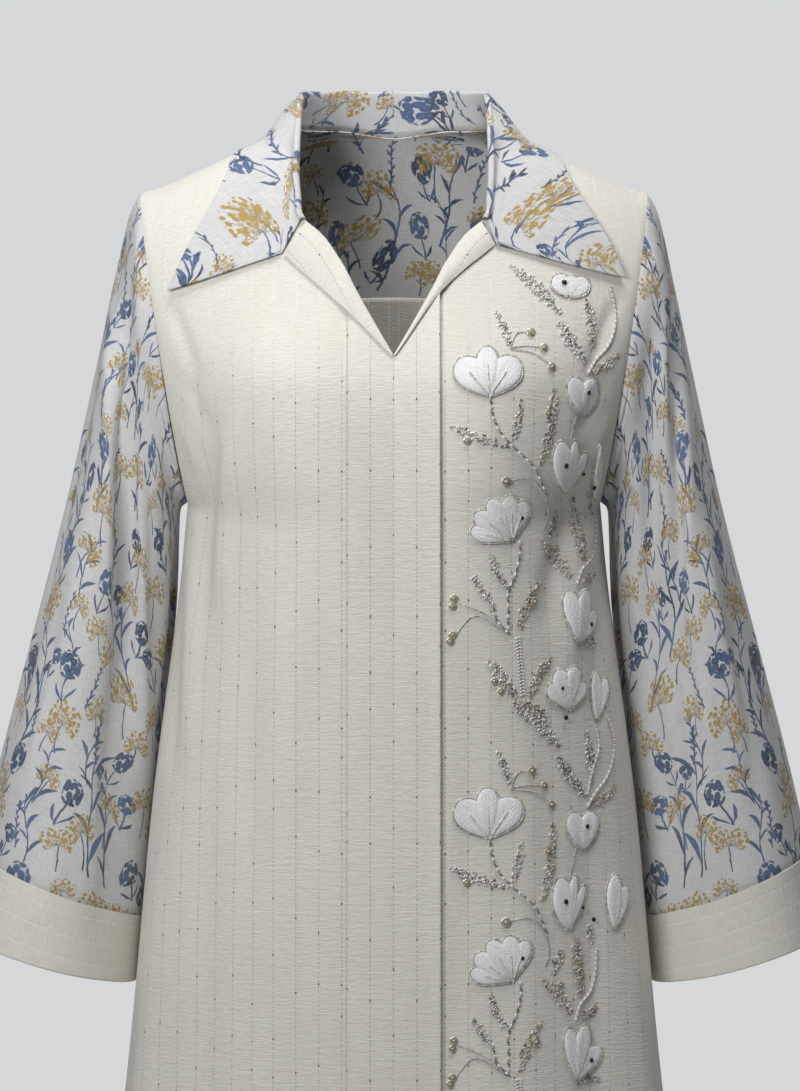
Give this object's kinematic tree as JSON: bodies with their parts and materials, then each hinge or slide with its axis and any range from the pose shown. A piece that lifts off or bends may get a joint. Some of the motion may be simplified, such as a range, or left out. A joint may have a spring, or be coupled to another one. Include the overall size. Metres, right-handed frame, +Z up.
{
  "type": "jalabiya robe",
  "caption": "Long loose jalabiya robe, hollow as worn, with an open V neck, long-pointed printed collar, wide printed sleeves with plain cuffs, and raised flower applique down one front.",
  "frame": {"origin": "midway between the shoulders on the shoulder line, where the wearer holds the robe up", "axes": "+Z up from hem to collar, the front faces -Y, and +X is the wearer's left"},
  "size_m": [0.7068, 0.3382, 1.4151],
  "materials": {
    "cream_cloth": "cream self-striped cotton blend, matt with a faint dry sheen",
    "printed_cloth": "pale grey ground printed with slate blue and mustard flowers on thin stems, matt",
    "applique": "white satin-stitched applique, softly shining"
  },
  "bodies": {
    "root": {"front_left": "cream_cloth", "front_right": "cream_cloth", "back": "cream_cloth", "yoke": "printed_cloth", "sleeve_left": "printed_cloth", "sleeve_right": "printed_cloth", "cuff_left": "cream_cloth", "cuff_right": "cream_cloth", "front_band": "cream_cloth", "lapel_left": "cream_cloth", "lapel_right": "cream_cloth", "collar": "printed_cloth", "flower_01": "applique", "flower_02": "applique", "flower_03": "applique", "flower_04": "applique", "flower_05": "applique", "flower_06": "applique", "flower_07": "applique", "flower_08": "applique", "flower_09": "applique", "flower_10": "applique", "flower_11": "applique", "flower_12": "applique", "flower_13": "applique", "flower_14": "applique", "flower_15": "applique", "flower_16": "applique", "flower_17": "applique", "flower_18": "applique", "flower_19": "applique", "flower_20": "applique", "flower_21": "applique", "flower_22": "applique", "flower_23": "applique", "flower_24": "applique", "flower_25": "applique", "flower_26": "applique", "flower_27": "applique", "flower_28": "applique", "flower_29": "applique"}
  },
  "joints": []
}
